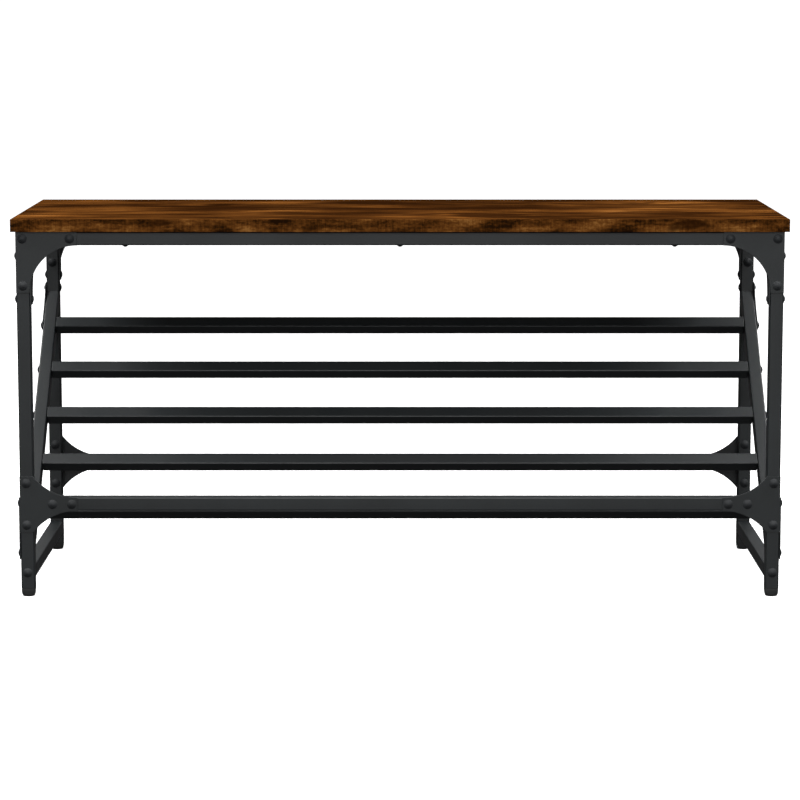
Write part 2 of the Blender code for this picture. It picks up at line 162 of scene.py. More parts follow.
def make_piece(bm, name, material, slot, *nodes):
    """A finished piece from a bmesh, which rides on the frame in place of these nodes."""
    bmesh.ops.recalc_face_normals(bm, faces=bm.faces[:])
    mesh = bpy.data.meshes.new(name)
    bm.to_mesh(mesh)
    bm.free()
    mesh.materials.append(material)
    mesh.shade_smooth()
    mesh.set_sharp_from_angle(angle=SHARP_ANGLE)
    piece = bpy.data.objects.new(name, mesh)
    bpy.context.scene.collection.objects.link(piece)
    weigh_normals(piece)
    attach(piece, "root")
    if nodes:
        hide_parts(*nodes)
    return piece


# Square tubes


def square_tube(bm, low, high, wall):
    """A square tube along Z with rounded edges. Without a wall its ends are closed and softened."""
    bmesh.ops.create_grid(bm, x_segments=1, y_segments=1, size=TUBE / 2)
    bmesh.ops.bevel(
        bm, geom=bm.verts[:], affect="VERTICES", offset=TUBE_RADIUS, segments=4, profile=0.5, material=-1
    )
    section = bm.faces[:]
    if wall:
        ring = bmesh.ops.inset_region(
            bm, faces=section, thickness=wall, use_boundary=True, use_even_offset=True
        )["faces"]
        bmesh.ops.delete(bm, geom=section, context="FACES")
        section = ring
    bmesh.ops.translate(bm, verts=bm.verts[:], vec=(0, 0, low))
    made = bmesh.ops.extrude_face_region(bm, geom=section)["geom"]
    top = [v for v in made if isinstance(v, bmesh.types.BMVert)]
    bmesh.ops.translate(bm, verts=top, vec=(0, 0, high - low))
    if not wall:
        rims = [e for e in bm.edges if abs(e.verts[0].co.z - e.verts[1].co.z) < TINY]
        bmesh.ops.bevel(
            bm, geom=rims, affect="EDGES", offset=TUBE_END_SOFTENING, segments=2, profile=0.5, material=-1
        )


def make_tube(node, turn, material, wall=0.0, end_slope=0.0):
    """The tube of a node, along Z before it is turned. An end slope makes both its ends stand upright."""
    low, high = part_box(node)
    span = turn.to_3x3().inverted() @ (high - low)
    length = abs(span.z)
    if end_slope:
        length = (high.y - low.y) / math.cos(end_slope)
    bm = bmesh.new()
    square_tube(bm, -length / 2, length / 2, wall)
    for vert in bm.verts:
        vert.co.z -= vert.co.y * math.tan(end_slope)
    bmesh.ops.transform(bm, matrix=Matrix.Translation(middle_of(node)) @ turn, verts=bm.verts[:])
    return make_piece(bm, f"{node}_tube", material, "black_steel", node)


def make_tubes(coat):
    for end in ENDS:
        for side in SIDES:
            make_tube(f"leg_{end}_{side}", UPRIGHT, coat, WALL)
        make_tube(f"top_rail_{end}", ALONG_X, coat, WALL)
        make_tube(f"lower_rail_{end}", ALONG_X, coat)
    lean = Matrix.Rotation(BRACE_SLOPE - math.radians(90), 4, "X")
    for side in SIDES:
        make_tube(f"top_rail_{side}", ALONG_Y, coat)
        make_tube(f"foot_rail_{side}", ALONG_Y, coat)
        make_tube(f"brace_{side}", lean, coat, WALL, BRACE_SLOPE)
    tilt = Matrix.Rotation(BRACE_SLOPE, 4, "X")
    for number in range(1, BAR_COUNT + 1):
        make_tube(f"shelf_bar_{number}", tilt @ ALONG_X, coat)


# Bolts and screws


def dome(diameter, height):
    """(r, z) points of a dome that eases out at its rim, from its crown down to its seat."""
    shares = [step / DOME_STEPS for step in range(DOME_STEPS + 1)]
    rise = height - LIP
    crown = [(diameter / 2 * share, LIP + rise * math.cos(math.radians(90) * share)) for share in shares]
    return crown + [(diameter / 2, 0)]


def socket_dome(diameter, height, width, depth):
    """The same dome with a socket sunk in its crown, and how far the socket's corners are from its axis."""
    corner = width / 2 / math.cos(math.radians(30))
    shell = [(r, z) for r, z in dome(diameter, height) if r > corner]
    mouth = shell[0][1] + LIP
    return [(0, mouth - depth), (corner, mouth - depth), (corner, mouth), *shell], corner


def square_off_socket(verts, corner):
    """Draws the round socket in until it is a hexagon with its corners where the circle was."""
    for vert in verts:
        if abs(vert.co.xy.length - corner) < TINY:
            angle = math.atan2(vert.co.y, vert.co.x) % math.radians(60)
            share = math.cos(math.radians(30)) / math.cos(angle - math.radians(30))
            vert.co.xy *= share


def spin_fastener(bm, profile, sockets, seat, into):
    """Spins (r, z) points round an axis through seat. Their -Z runs along into."""
    before = set(bm.verts)
    chain = [bm.verts.new((r, 0, z)) for r, z in profile]
    edges = [bm.edges.new(pair) for pair in zip(chain, chain[1:])]
    bmesh.ops.spin(
        bm, geom=chain + edges, cent=(0, 0, 0), axis=UP, dvec=(0, 0, 0), angle=math.tau,
        steps=ROUND_STEPS, use_merge=True, use_duplicate=False,
    )
    bmesh.ops.remove_doubles(bm, verts=[v for v in bm.verts if v not in before], dist=TINY)
    fresh = [v for v in bm.verts if v not in before]
    for corner in sockets:
        square_off_socket(fresh, corner)
    turn = (-UP).rotation_difference(into).to_matrix().to_4x4()
    bmesh.ops.transform(bm, matrix=Matrix.Translation(seat) @ turn, verts=fresh)


PLAIN_DOME = dome(BOLT_HEAD, BOLT_HEAD_HEIGHT)
DRIVEN_DOME, DRIVEN_CORNER = socket_dome(BOLT_HEAD, BOLT_HEAD_HEIGHT, BOLT_SOCKET, BOLT_SOCKET_DEPTH)
SCREW_DOME, SCREW_CORNER = socket_dome(SCREW_HEAD, SCREW_HEAD_HEIGHT, SCREW_SOCKET, SCREW_SOCKET_DEPTH)


def end_bolt(bm, seat, into, grip, driven=False):
    """A bolt whose end stays inside the tube that it holds. A driven head has a socket."""
    head = DRIVEN_DOME if driven else PLAIN_DOME
    shank = [(BOLT_SHANK / 2, 0), (BOLT_SHANK / 2, -grip), (0, -grip)]
    spin_fastener(bm, head + shank, [DRIVEN_CORNER] if driven else [], seat, into)


def through_bolt(bm, seat, into, grip, driven=False):
    """A bolt right through a tube, with a domed nut on the far face. Its head or its nut has a socket."""
    head, nut = (DRIVEN_DOME, PLAIN_DOME) if driven else (PLAIN_DOME, DRIVEN_DOME)
    shank = [(BOLT_SHANK / 2, 0), (BOLT_SHANK / 2, -grip)]
    far = [(r, -grip - z) for r, z in reversed(nut)]
    spin_fastener(bm, head + shank + far, [DRIVEN_CORNER], seat, into)


def make_bolts(steel):
    """The bolts that stand in nodes of their own: through the braces, and into the foot rails."""
    single_grip = GAP + TUBE + END_BITE
    plated_grip = single_grip + GAP + PLATE
    for side, x_sign in SIDES.items():
        inward = Vector((-x_sign, 0, 0))
        for number, centre in enumerate(BAR_MIDDLES, 1):
            grip = plated_grip if number in (1, BAR_COUNT) else single_grip
            seat = Vector((x_sign * (HALF_WIDTH + grip - END_BITE - TUBE), centre.y, centre.z))
            bm = bmesh.new()
            end_bolt(bm, seat, inward, grip)
            node = f"bar_bolt_{side}_{number}"
            make_piece(bm, f"{node}_dome", steel, "bolt_steel", node)
        for end, y_sign in ENDS.items():
            seat = Vector((x_sign * LEG_X, y_sign * (HALF_DEPTH + GAP), FOOT_RAIL_HEIGHT))
            bm = bmesh.new()
            end_bolt(bm, seat, Vector((0, -y_sign, 0)), single_grip, driven=end == "back")
            node = f"foot_rail_bolt_{end}_{side}"
            make_piece(bm, f"{node}_dome", steel, "bolt_steel", node)


def make_screws(steel):
    grip = GAP + TUBE + GAP + SCREW_BITE
    shank = [(SCREW_SHANK / 2, 0), (SCREW_SHANK / 2, -grip), (0, -grip)]
    for end in ENDS:
        for place in ("left", "middle", "right"):
            node = f"board_screw_{end}_{place}"
            centre = middle_of(node)
            seat = Vector((centre.x, centre.y, FRAME_TOP - TUBE - GAP))
            bm = bmesh.new()
            spin_fastener(bm, SCREW_DOME + shank, [SCREW_CORNER], seat, UP)
            make_piece(bm, f"{node}_head", steel, "bolt_steel", node)


# Plates. An outline is drawn flat, with (0, 0) at the plate's corner on the frame.


def point(bm, a, b):
    return [bm.verts.new((a, b, 0))]


def arc(bm, start, centre, turn):
    """Sweeps a vertex from start round centre, and returns the arc's vertices in order."""
    first = bm.verts.new((*start, 0))
    before = set(bm.verts)
    bmesh.ops.spin(
        bm, geom=[first], cent=(*centre, 0), axis=UP, dvec=(0, 0, 0), angle=turn, steps=ARC_STEPS,
        use_merge=False, use_duplicate=False,
    )
    return [first, *(v for v in bm.verts if v not in before)]


def bowed_edge(bm, start, stop, bow):
    """An arc from start to stop that bulges to the left of that line by bow."""
    run = Vector(stop) - Vector(start)
    radius = (run.length / 2) ** 2 / (2 * bow) + bow / 2
    left = Vector((-run.y, run.x)).normalized()
    centre = (Vector(start) + Vector(stop)) / 2 - left * (radius - bow)
    return arc(bm, start, centre, -2 * math.asin(run.length / 2 / radius))


def corner_outline(bm):
    """An L with a hollow arc between its arms."""
    arm = CORNER_ARM
    hollow = arc(bm, (arm, TUBE), (arm, arm), math.radians(-90))
    return point(bm, 0, 0) + point(bm, arm, 0) + hollow + point(bm, 0, arm)


def notched_corner_outline(bm):
    """An L with a hollow arc, and a notch in its corner for the end of the front or back rail."""
    arm = SIDE_ARM
    notch = TUBE + SIDE_NOTCH
    hollow = arc(bm, (arm, TUBE), (arm, arm), math.radians(-90))
    inside = point(bm, 0, arm) + point(bm, 0, notch) + point(bm, notch, notch)
    return point(bm, notch, 0) + point(bm, arm, 0) + hollow + inside


def tee_outline(bm):
    """A T across the leg, with a hollow arc on each side of the rail."""
    centre_b = TUBE / 2 + TEE_RADIUS
    turn = math.asin((TEE_REACH - TUBE) / TEE_RADIUS)
    half_height = centre_b - TEE_RADIUS * math.cos(turn)
    lower = arc(bm, (TUBE, -half_height), (TEE_REACH, -centre_b), -turn)
    upper = arc(bm, (TEE_REACH, TUBE / 2), (TEE_REACH, centre_b), -turn)
    return point(bm, 0, -half_height) + lower + upper + point(bm, 0, half_height)


def brace_outline(bm):
    """A plate over a leg and the end of a brace. (0, 0) is where the brace's centre line meets the leg."""
    line = Vector((math.cos(BRACE_SLOPE), math.sin(BRACE_SLOPE)))
    above = Vector((-line.y, line.x)) * TUBE / 2
    arm_end = BAR_SETBACK + BRACE_ARM_END
    crotch = TUBE / 2 / math.cos(BRACE_SLOPE)
    tangent = arm_end - BRACE_FILLET_END - crotch * math.sin(BRACE_SLOPE)
    radius = tangent * math.tan((math.radians(90) - BRACE_SLOPE) / 2)
    fillet_centre = Vector((radius, crotch + tangent))
    down_line = Vector((math.sin(BRACE_SLOPE), -math.cos(BRACE_SLOPE)))
    fillet = arc(bm, fillet_centre + down_line * radius, fillet_centre, -math.radians(90) - BRACE_SLOPE)
    lower_edge = bowed_edge(
        bm, (0, -BRACE_TAIL), line * (BAR_SETBACK - BRACE_ARM_START) - above, BRACE_EDGE_BOW
    )
    tip = crotch + tangent + BRACE_TIP
    arm = point(bm, *(line * arm_end - above)) + point(bm, *(line * arm_end + above))
    leg_edge = point(bm, 0, tip) + point(bm, -TUBE, tip)
    return point(bm, -TUBE, -BRACE_TAIL) + lower_edge + arm + fillet + leg_edge


class Face:
    """A flat face that a plate lies on: its corner, its two directions and the way out of the tube."""

    def __init__(self, corner, along, across, out):
        self.out = out
        turn = Matrix((along, across, out)).transposed().to_4x4()
        self.place = Matrix.Translation(corner) @ turn

    def seat(self, a, b):
        return self.place @ Vector((a, b, PLATE))


def make_plate(node, face, outline, bolts, finishes, driven=False):
    """A plate with softened edges, and its bolts, which are (kind, a, b)."""
    coat, steel = finishes
    bm = bmesh.new()
    bm.faces.new(outline(bm))
    made = bmesh.ops.extrude_face_region(bm, geom=bm.faces[:])["geom"]
    top = [f for f in made if isinstance(f, bmesh.types.BMFace)]
    raised = [v for v in made if isinstance(v, bmesh.types.BMVert)]
    bmesh.ops.translate(bm, verts=raised, vec=(0, 0, PLATE))
    bmesh.ops.bevel(
        bm, geom=top[0].edges[:], affect="EDGES", offset=PLATE_SOFTENING, segments=3, profile=0.5,
        material=-1,
    )
    bmesh.ops.transform(bm, matrix=face.place, verts=bm.verts[:])
    make_piece(bm, f"{node}_plate", coat, "black_steel", node)

    bm = bmesh.new()
    for kind, a, b in bolts:
        if kind == "through":
            through_bolt(bm, face.seat(a, b), -face.out, PLATE + TUBE + 2 * GAP, driven)
        else:
            past_plate = TUBE + END_BITE if kind == "end" else BLIND_BITE
            end_bolt(bm, face.seat(a, b), -face.out, PLATE + GAP + past_plate, driven)
    make_piece(bm, f"{node}_bolts", steel, "bolt_steel", node)


def make_plates(finishes):
    """Every plate. Sockets are on the faces that are turned to the back or to the inside."""
    middle = TUBE / 2
    side_bolts = (TUBE + SIDE_BOLT_IN, SIDE_ARM - SIDE_BOLT_END)
    for end, y_sign in ENDS.items():
        at_back = end == "back"
        for side, x_sign in SIDES.items():
            spot = f"{end}_{side}"
            inward_x, inward_y = Vector((-x_sign, 0, 0)), Vector((0, -y_sign, 0))
            outer_x, outer_y = x_sign * HALF_WIDTH, y_sign * (HALF_DEPTH + GAP)

            face = Face(Vector((outer_x, outer_y, FRAME_TOP)), inward_x, -UP, -inward_y)
            bolts = [
                ("end", middle, middle),
                ("through", CORNER_BOLT, middle),
                ("through", middle, CORNER_BOLT),
            ]
            make_plate(f"corner_gusset_{spot}", face, corner_outline, bolts, finishes, at_back)

            corner = Vector((x_sign * (INNER_X - GAP), y_sign * HALF_DEPTH, FRAME_TOP))
            face = Face(corner, inward_y, -UP, inward_x)
            bolts = [("through", middle, far) for far in side_bolts]
            bolts += [("through", far, middle) for far in side_bolts]
            make_plate(f"side_gusset_{spot}", face, notched_corner_outline, bolts, finishes, True)

            face = Face(Vector((outer_x, outer_y, LOWER_RAIL_HEIGHT)), inward_x, UP, -inward_y)
            bolts = [("through", middle, TEE_LEG_BOLT), ("through", middle, -TEE_LEG_BOLT)]
            bolts += [("through", far, 0) for far in TEE_RAIL_BOLTS]
            make_plate(f"rail_gusset_{spot}", face, tee_outline, bolts, finishes, at_back)

            height, across = (BRACE_HEAD, -UP) if at_back else (BRACE_FOOT, UP)
            corner = Vector((x_sign * (HALF_WIDTH + GAP), y_sign * INNER_Y, height))
            face = Face(corner, inward_y, across, -inward_x)
            tail_kind, tip_kind = ("through", "blind") if at_back else ("blind", "end")
            bolts = [
                (tail_kind, -middle, -BRACE_TAIL_BOLT),
                (tip_kind, -middle, LOWER_RAIL_HEIGHT - BRACE_FOOT),
            ]
            make_plate(f"brace_plate_{spot}", face, brace_outline, bolts, finishes)


# Seat board and feet


def softened_block(low, high, softening):
    bm = bmesh.new()
    bmesh.ops.create_cube(bm, size=1)
    bmesh.ops.scale(bm, vec=high - low, verts=bm.verts[:])
    bmesh.ops.translate(bm, vec=(low + high) / 2, verts=bm.verts[:])
    bmesh.ops.bevel(
        bm, geom=bm.edges[:], affect="EDGES", offset=softening, segments=3, profile=0.5, material=-1
    )
    return bm


def make_board(face_oak, edging_oak):
    """The panel with its printed face, and the four bands that close its edges."""
    inset = Vector((BAND, BAND, 0))
    low, high = BOARD_LOW + inset, BOARD_HIGH - inset
    panel = softened_block(low, high, PANEL_SOFTENING)
    make_piece(panel, "seat_board_panel", face_oak, "smoked_oak", "seat_board")
    bands = {
        "front": (BOARD_LOW, Vector((BOARD_HIGH.x, low.y, BOARD_HIGH.z))),
        "back": (Vector((BOARD_LOW.x, high.y, BOARD_LOW.z)), BOARD_HIGH),
        "left": (Vector((BOARD_LOW.x, low.y, BOARD_LOW.z)), Vector((low.x, high.y, BOARD_HIGH.z))),
        "right": (Vector((high.x, low.y, BOARD_LOW.z)), Vector((BOARD_HIGH.x, high.y, BOARD_HIGH.z))),
    }
    for name, (band_low, band_high) in bands.items():
        band = softened_block(band_low, band_high, BAND_SOFTENING)
        make_piece(band, f"seat_board_{name}_band", edging_oak, "smoked_oak", "seat_board")


def foot_ring(bm, height, half, squareness):
    """A ring that turns from a circle at squareness 2 towards a square at a high one."""
    ring = bmesh.ops.create_circle(bm, segments=FOOT_SIDES, radius=1)["verts"]
    for vert in ring:
        x, y = abs(vert.co.x), abs(vert.co.y)
        size = half / (x**squareness + y**squareness) ** (1 / squareness)
        vert.co = (vert.co.x * size, vert.co.y * size, height)
    return list({edge for vert in ring for edge in vert.link_edges})


def make_feet(plastic):
    """Caps that swell from a round sole to the square of the leg, with a seam and a plug above."""
    bm = bmesh.new()
    plug = TUBE / 2 - WALL - GAP
    loops = []
    for level in range(FOOT_LEVELS):
        share = level / (FOOT_LEVELS - 1)
        swell = math.sin(share * math.radians(90)) ** FOOT_SWELL_POWER
        half = FOOT_BOTTOM / 2 + (TUBE - FOOT_BOTTOM) / 2 * swell
        squareness = 2 + (FOOT_SQUARENESS - 2) * share**FOOT_CORNER_POWER
        height = (FOOT_HEIGHT - FOOT_SEAM) * share**FOOT_RISE_POWER
        loops.append(foot_ring(bm, height, half, squareness))
    loops.append(foot_ring(bm, FOOT_HEIGHT - FOOT_SEAM / 2, TUBE / 2 - FOOT_SEAM / 2, FOOT_SQUARENESS))
    loops.append(foot_ring(bm, FOOT_HEIGHT, TUBE / 2 - FOOT_SEAM, FOOT_SQUARENESS))
    loops.append(foot_ring(bm, FOOT_HEIGHT, plug, FOOT_SQUARENESS))
    plug_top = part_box("foot_front_left")[1].z
    loops.append(foot_ring(bm, plug_top, plug, FOOT_SQUARENESS))
    for lower, upper in zip(loops, loops[1:]):
        bmesh.ops.bridge_loops(bm, edges=lower + upper)
    bmesh.ops.contextual_create(bm, geom=loops[0])
    bmesh.ops.contextual_create(bm, geom=loops[-1])
    for end, y_sign in ENDS.items():
        for side, x_sign in SIDES.items():
            foot = bm.copy()
            bmesh.ops.translate(foot, vec=(x_sign * LEG_X, y_sign * LEG_Y, 0), verts=foot.verts[:])
            node = f"foot_{end}_{side}"
            make_piece(foot, f"{node}_cap", plastic, "black_plastic", node)
    bm.free()


# Node trees

MIX_FACTOR, MIX_FIRST, MIX_SECOND = 0, 6, 7  # the colour inputs of a Mix node
MIX_RESULT = 2


def add_node(tree, kind, inputs=None, **settings):
    """Adds a node. Each input is a value, or the output of another node."""
    node = tree.nodes.new(f"ShaderNode{kind}")
    for name, value in settings.items():
        setattr(node, name, value)
    for key, value in (inputs or {}).items():
        if isinstance(value, bpy.types.NodeSocket):
            tree.links.new(value, node.inputs[key])
        else:
            node.inputs[key].default_value = value
    return node


def maths(tree, operation, *values, clamp=False):
    node = add_node(tree, "Math", dict(enumerate(values)), operation=operation, use_clamp=clamp)
    return node.outputs["Value"]


def remap(tree, value, low, high, to_low=0.0, to_high=1.0):
    """Carries value from one range to another with soft ends."""
    sockets = {"Value": value, "From Min": low, "From Max": high, "To Min": to_low, "To Max": to_high}
    return add_node(tree, "MapRange", sockets, interpolation_type="SMOOTHSTEP").outputs["Result"]


def blend_colours(tree, factor, first, second, blend_type="MIX"):
    node = tree.nodes.new("ShaderNodeMix")
    node.data_type = "RGBA"
    node.blend_type = blend_type
    for index, value in ((MIX_FACTOR, factor), (MIX_FIRST, first), (MIX_SECOND, second)):
        if isinstance(value, bpy.types.NodeSocket):
            tree.links.new(value, node.inputs[index])
        else:
            node.inputs[index].default_value = value
    return node.outputs[MIX_RESULT]


def ramp(tree, factor, stops):
    """A colour ramp from (position, colour) stops."""
    node = add_node(tree, "ValToRGB", {"Fac": factor})
    elements = node.color_ramp.elements
    for index, (position, colour) in enumerate(stops):
        element = elements[index] if index < 2 else elements.new(position)
        element.position = position
        element.color = colour
    return node.outputs["Color"]


def stretch(tree, vector, scale, location=(0, 0, 0)):
    sockets = {"Vector": vector, "Scale": scale, "Location": location}
    return add_node(tree, "Mapping", sockets).outputs["Vector"]


def noise(tree, vector, scale, detail=3.0, roughness=0.5):
    sockets = {"Vector": vector, "Scale": scale, "Detail": detail, "Roughness": roughness}
    return add_node(tree, "TexNoise", sockets).outputs["Fac"]


def vary(tree, value, texture, strength, clamp=False):
    """Adds a 0 to 1 texture to a value. The middle of the texture leaves the value as it was."""
    swing = maths(tree, "SUBTRACT", texture, 0.5)
    return maths(tree, "MULTIPLY_ADD", swing, strength, value, clamp=clamp)


def new_group(name, inputs, outputs):
    """An empty node group and its two end nodes. Inputs are (label, kind, value), outputs (label, kind)."""
    tree = bpy.data.node_groups.new(name, "ShaderNodeTree")
    for label, kind, value in inputs:
        socket = tree.interface.new_socket(label, in_out="INPUT", socket_type=f"NodeSocket{kind}")
        if value is not None:
            socket.default_value = value
    for label, kind in outputs:
        tree.interface.new_socket(label, in_out="OUTPUT", socket_type=f"NodeSocket{kind}")
    return tree, tree.nodes.new("NodeGroupInput").outputs, tree.nodes.new("NodeGroupOutput").inputs


def place_group(tree, group, inputs):
    node = tree.nodes.new("ShaderNodeGroup")
    node.node_tree = group
    for key, value in inputs.items():
        if isinstance(value, bpy.types.NodeSocket):
            tree.links.new(value, node.inputs[key])
        else:
            node.inputs[key].default_value = value
    return node.outputs


def srgb(red, green, blue):
    """A colour given as 0 to 255 screen values, as the linear values that a socket takes."""
    shares = [value / 255 for value in (red, green, blue)]
    linear = [s / 12.92 if s <= 0.04045 else ((s + 0.055) / 1.055) ** 2.4 for s in shares]
    return (*linear, 1.0)


def new_material(name, **sockets):
    """A material and its Principled shader, with these sockets set to plain values."""
    material = bpy.data.materials.new(name)
    material.use_nodes = True
    shader = material.node_tree.nodes["Principled BSDF"]
    for socket, value in sockets.items():
        shader.inputs[socket.replace("_", " ")].default_value = value
    return material, material.node_tree, shader


def object_position(tree):
    return add_node(tree, "TexCoord").outputs["Object"]


def add_bump(tree, shader, height, distance, strength):
    sockets = {"Height": height, "Distance": distance, "Strength": strength}
    tree.links.new(add_node(tree, "Bump", sockets).outputs["Normal"], shader.inputs["Normal"])


# Shared effects

EDGE_FLAT, EDGE_SHARP = 0.995, 0.86  # how alike a face and its rounded edge are, without and with edge wear and painted edge highlight
WEAR_AND_HIGHLIGHT_PATCHES = (0.38, 0.62)
SPECKLES = (0.60, 0.72)
GRAIN_TO_PEEL = 4.0  # how much finer the grain is than the orange peel
GRAIN_SHARE = 0.35  # of the grain's height, on top of the peel's


def edge_wear_and_highlight_group():
    """A mask that is 1 along sharp outer edges, broken up in patches: edge wear that is also a painted edge
    highlight.
    """
    tree, given, result = new_group(
        "edge wear and highlight",
        [("Position", "Vector", None), ("Width", "Float", 0.0006), ("Patchiness", "Float", 60.0)],
        [("Mask", "Float")],
    )
    rounded = add_node(tree, "Bevel", {"Radius": given["Width"]}, samples=4).outputs["Normal"]
    flat = add_node(tree, "NewGeometry").outputs["Normal"]
    alike = add_node(tree, "VectorMath", {0: rounded, 1: flat}, operation="DOT_PRODUCT").outputs["Value"]
    # Lighter sharp edges stand for edge wear and also paint an edge highlight on the coat
    edge = remap(tree, alike, EDGE_FLAT, EDGE_SHARP)
    patches = remap(tree, noise(tree, given["Position"], given["Patchiness"]), *WEAR_AND_HIGHLIGHT_PATCHES)
    tree.links.new(maths(tree, "MULTIPLY", edge, patches), result["Mask"])
    return tree


def coat_group():
    """Powder coat: an orange-peel height, and a slow cloud for its colour and gloss."""
    tree, given, result = new_group(
        "powder coat",
        [("Position", "Vector", None), ("Peel", "Float", 420.0), ("Cloud", "Float", 9.0)],
        [("Height", "Float"), ("Cloud", "Float"), ("Speckle", "Float")],
    )
    peel = noise(tree, given["Position"], given["Peel"], detail=2.0, roughness=0.55)
    grain_scale = maths(tree, "MULTIPLY", given["Peel"], GRAIN_TO_PEEL)
    grain = noise(tree, given["Position"], grain_scale, detail=2.0, roughness=0.6)
    height = maths(tree, "MULTIPLY_ADD", grain, GRAIN_SHARE, peel)
    tree.links.new(height, result["Height"])
    cloud = noise(tree, given["Position"], given["Cloud"], detail=4.0, roughness=0.6)
    tree.links.new(cloud, result["Cloud"])
    tree.links.new(remap(tree, grain, *SPECKLES), result["Speckle"])
    return tree


# Oak. Each noise has its scales along X, Y and Z, where it starts, its detail and its roughness.
HERE = (0.0, 0.0, 0.0)
OAK_NOISES = {
    "wander": ((4.2, 8.0, 1.0), HERE, 3.0, 0.5),
    "fibres": ((14.0, 420.0, 60.0), HERE, 3.0, 0.6),
    "belts": ((6.0, 17.0, 1.0), (4.2, 1.3, 0.0), 3.0, 0.5),
    "smoke": ((7.0, 30.0, 1.0), (7.7, 2.9, 0.0), 4.0, 0.55),
    "lines": ((5.0, 150.0, 1.0), HERE, 3.0, 0.6),
    "pores": ((70.0, 1500.0, 200.0), HERE, 2.0, 0.5),
    "blotches": ((19.0, 60.0, 1.0), (3.0, 1.0, 0.0), 4.0, 0.6),
    "saw": ((520.0, 24.0, 1.0), HERE, 2.0, 0.6),
    "mottle": ((230.0, 330.0, 1.0), HERE, 3.0, 0.65),
    "stains": ((13.0, 45.0, 1.0), (9.0, 4.0, 0.0), 2.0, 0.5),
}
# The part of each noise that shows: nothing under the first value, all of it over the second
SMOKE_SHOWS = (0.53, 0.64)
LINES_SHOW = (0.56, 0.68)
PORES_SHOW = (0.58, 0.68)
STAINS_SHOW = (0.58, 0.66)
LINE_DEPTH = 0.45
PORE_DEPTH = -0.8
# How strongly each texture moves the tone of the face, and the tone they start from
FACE_TONE = 0.33
STREAK_SWING, RING_SWING, FIBRE_SWING, BELT_SWING = 2.3, 0.30, 0.45, 1.5
# The same for the edge bands
EDGING_TONE = 0.50
FIGURE_SWING, BLOTCH_SWING, SAW_SWING, MOTTLE_SWING = 0.35, 2.9, 0.6, 1.1
# Yearly rings: saw-toothed bands, drawn out along the board
RING_SCALES = (0.9, 7.0, 1.0)
RING_START = (0.31, 0.17, 0.0)
RINGS = {"Scale": 2.1, "Distortion": 5.5, "Detail": 3.0, "Detail Scale": 1.4, "Detail Roughness": 0.6}
# Each knot in the face: its X, its Y, and how far it bends the grain round it
OAK_KNOTS = (
    (-0.27, 0.045, 0.030),
    (0.08, -0.070, -0.026),
    (0.30, 0.085, 0.024),
    (-0.02, 0.105, -0.02),
)
KNOT_STRETCH = (9.0, 26.0, 0.0)  # makes a circle round a knot into an ellipse along the board
KNOT_REACH, KNOT_RIM, KNOT_HEART = 1.0, 0.30, 0.10  # measured in the stretched space
PALE_BELT_Y = -0.03  # the middle of a lighter belt along the board
PALE_BELT_HALF = 0.055
PALE_BELT_TONES = (-0.04, 0.12)  # added to the tone off the belt, and on its middle


def oak_noise(tree, vector, name):
    scales, start, detail, roughness = OAK_NOISES[name]
    return noise(tree, stretch(tree, vector, scales, start), 1.0, detail, roughness)


def knot_centre(x, y):
    return (x * KNOT_STRETCH[0], y * KNOT_STRETCH[1], 0.0)


